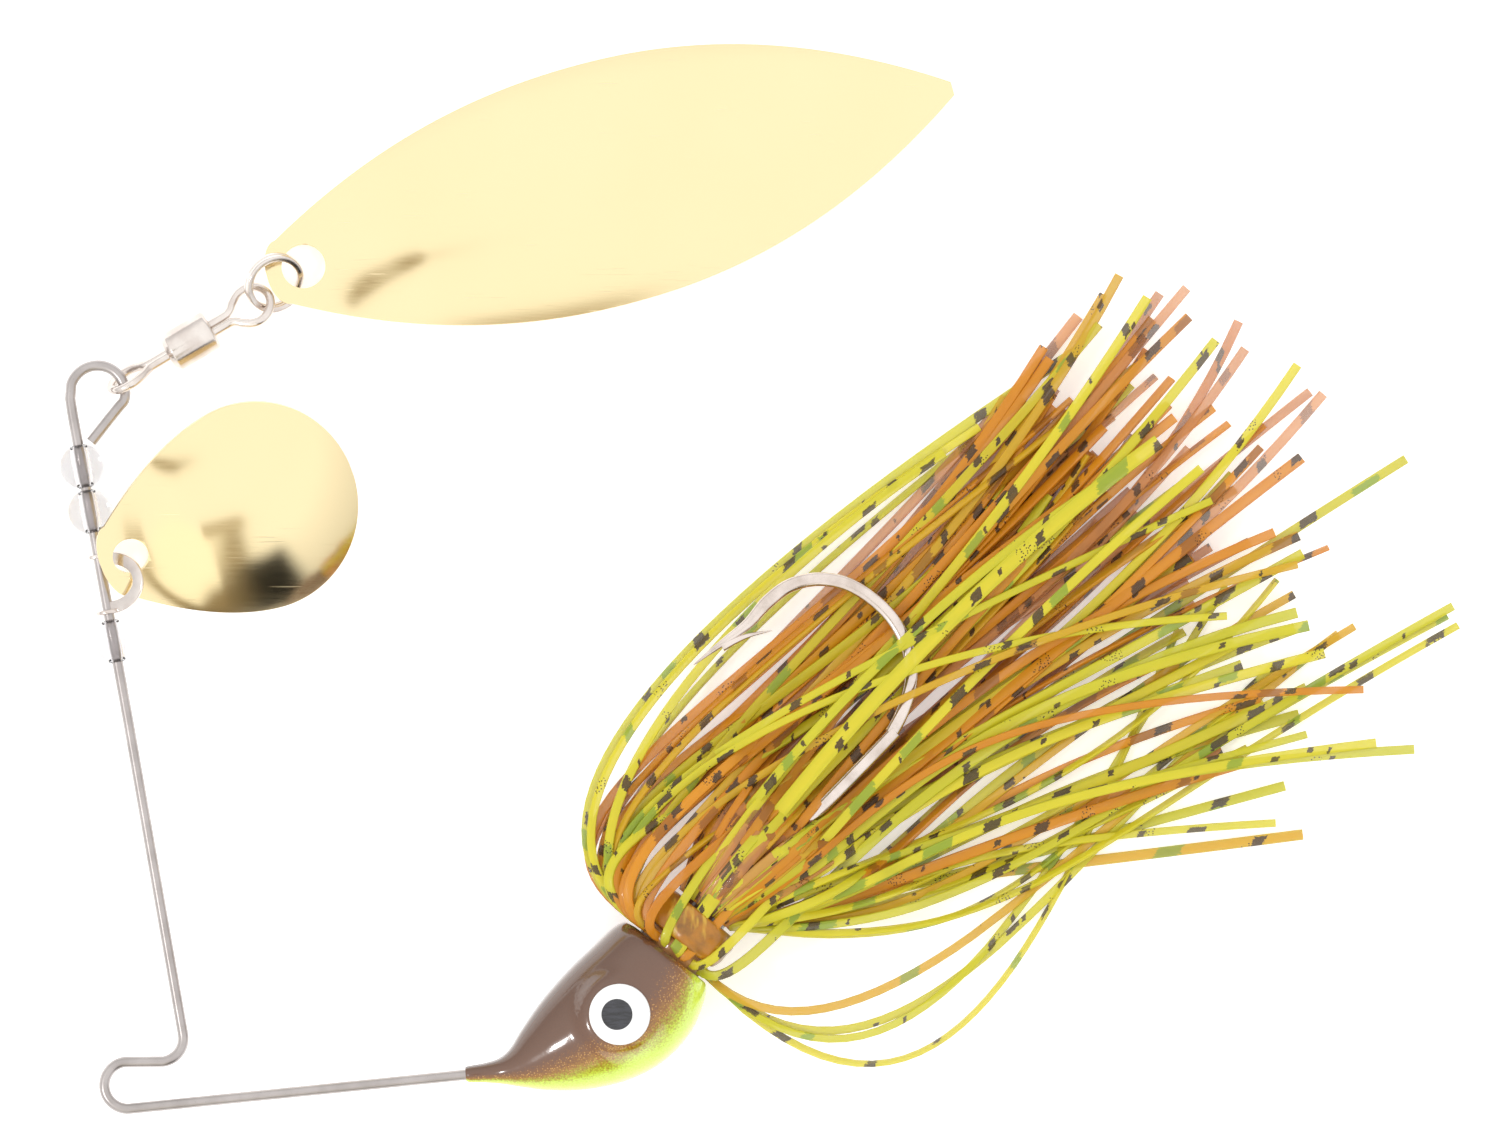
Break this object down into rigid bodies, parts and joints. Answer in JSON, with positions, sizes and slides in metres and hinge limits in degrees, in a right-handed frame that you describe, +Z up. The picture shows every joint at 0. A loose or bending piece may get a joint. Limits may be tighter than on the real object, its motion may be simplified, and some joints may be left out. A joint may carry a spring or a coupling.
{
  "type": "spinnerbait",
  "caption": "Tandem spinnerbait: bent wire arm with a clevis blade and a swivel-hung willow blade, a painted lead head on a single hook and a silicone fringe skirt",
  "frame": {"origin": "on the table surface, under the middle of the bounding box", "axes": "+X from the line tie along the lower wire arm towards the skirt tips, +Y from the lower wire arm towards the large blade, +Z up out of the table, across the thickness of the lure lying on its side"},
  "size_m": [0.1282, 0.1002, 0.0149],
  "materials": {
    "stainless_wire": "drawn stainless spring wire",
    "hook_nickel": "bright nickel",
    "nickel": "warm nickel plate",
    "gold": "polished gold plate",
    "clear_plastic": "clear, glossy",
    "head_paint": "gloss paint, brown back fading to a chartreuse belly",
    "eye_white": "gloss enamel",
    "eye_black": "gloss enamel",
    "collar_silicone": "translucent amber silicone",
    "skirt_chartreuse": "translucent silicone with black flake",
    "skirt_pumpkin": "translucent silicone with black flake"
  },
  "bodies": {
    "lure": {"strand_outer_01": "skirt_chartreuse", "strand_outer_02": "skirt_chartreuse", "strand_outer_03": "skirt_chartreuse", "strand_outer_04": "skirt_chartreuse", "strand_outer_05": "skirt_chartreuse", "strand_outer_06": "skirt_chartreuse", "strand_outer_07": "skirt_chartreuse", "strand_outer_08": "skirt_chartreuse", "strand_outer_09": "skirt_chartreuse", "strand_outer_10": "skirt_chartreuse", "strand_outer_11": "skirt_chartreuse", "strand_outer_12": "skirt_chartreuse", "strand_outer_13": "skirt_chartreuse", "strand_outer_14": "skirt_chartreuse", "strand_outer_15": "skirt_chartreuse", "strand_outer_16": "skirt_chartreuse", "strand_outer_17": "skirt_chartreuse", "strand_outer_18": "skirt_chartreuse", "strand_inner_01": "skirt_pumpkin", "strand_inner_02": "skirt_pumpkin", "strand_inner_03": "skirt_pumpkin", "strand_inner_04": "skirt_pumpkin", "strand_inner_05": "skirt_pumpkin", "strand_inner_06": "skirt_pumpkin", "strand_inner_07": "skirt_pumpkin", "strand_inner_08": "skirt_pumpkin", "strand_inner_09": "skirt_pumpkin", "strand_inner_10": "skirt_pumpkin", "strand_inner_11": "skirt_pumpkin", "strand_inner_12": "skirt_pumpkin", "strand_inner_13": "skirt_pumpkin", "strand_inner_14": "skirt_pumpkin", "strand_inner_15": "skirt_pumpkin", "strand_inner_16": "skirt_pumpkin", "strand_inner_17": "skirt_pumpkin", "strand_inner_18": "skirt_pumpkin", "wire_form": "stainless_wire", "hook": "hook_nickel", "head": "head_paint", "eye_white_top": "eye_white", "eye_pupil_top": "eye_black", "eye_white_under": "eye_white", "eye_pupil_under": "eye_black", "skirt_collar": "collar_silicone"},
    "bead_upper_1": {"bead_upper_1": "clear_plastic"},
    "bead_upper_2": {"bead_upper_2": "clear_plastic"},
    "clevis": {"clevis": "nickel"},
    "small_blade": {"small_blade": "gold"},
    "bead_lower": {"bead_lower": "clear_plastic"},
    "swivel_eye_lower": {"swivel_eye_lower": "nickel"},
    "swivel_barrel": {"swivel_barrel": "nickel"},
    "swivel_eye_upper": {"swivel_eye_upper": "nickel"},
    "split_ring": {"split_ring": "nickel"},
    "large_blade": {"large_blade": "gold"}
  },
  "joints": [
    {"name": "bead_upper_1_spin", "type": "hinge", "parent": "lure", "child": "bead_upper_1", "pos_m": [-0.06205, 0.01044, 0.00269], "axis": [-0.1803, 0.9829, -0.0381], "continuous": true},
    {"name": "bead_upper_2_slide", "type": "slide", "parent": "lure", "child": "bead_upper_2", "axis": [0.1803, -0.9829, 0.0381], "range_m": [0, 0.0019]},
    {"name": "clevis_spin", "type": "hinge", "parent": "lure", "child": "clevis", "pos_m": [-0.06003, -0.00062, 0.00312], "axis": [-0.1803, 0.9829, -0.0381], "continuous": true},
    {"name": "small_blade_swing", "type": "hinge", "parent": "clevis", "child": "small_blade", "pos_m": [-0.05746, 0.0021, 0.0047], "axis": [0.1985, -0.2538, 0.9467], "range_deg": [-20, 18]},
    {"name": "bead_lower_slide", "type": "slide", "parent": "lure", "child": "bead_lower", "axis": [0.1803, -0.9829, 0.0381], "range_m": [-0.0003, 0.028]},
    {"name": "swivel_swing", "type": "hinge", "parent": "lure", "child": "swivel_eye_lower", "pos_m": [-0.05826, 0.01838, 0.00253], "axis": [0, 0, 1], "range_deg": [-20, 18]},
    {"name": "barrel_spin", "type": "hinge", "parent": "swivel_eye_lower", "child": "swivel_barrel", "pos_m": [-0.05401, 0.0209, 0.00258], "axis": [0.8598, 0.5106, 0.0088], "continuous": true},
    {"name": "upper_eye_spin", "type": "hinge", "parent": "swivel_barrel", "child": "swivel_eye_upper", "pos_m": [-0.04618, 0.02555, 0.00265], "axis": [0.8598, 0.5106, 0.0088], "continuous": true},
    {"name": "split_ring_swing", "type": "hinge", "parent": "swivel_eye_upper", "child": "split_ring", "pos_m": [-0.04405, 0.02765, 0.00276], "axis": [0, 0, 1], "range_deg": [-10, 10]},
    {"name": "large_blade_swing", "type": "hinge", "parent": "split_ring", "child": "large_blade", "pos_m": [-0.04133, 0.02915, 0.00241], "axis": [0.0037, 0.0914, 0.9958], "range_deg": [-15, 75]}
  ]
}
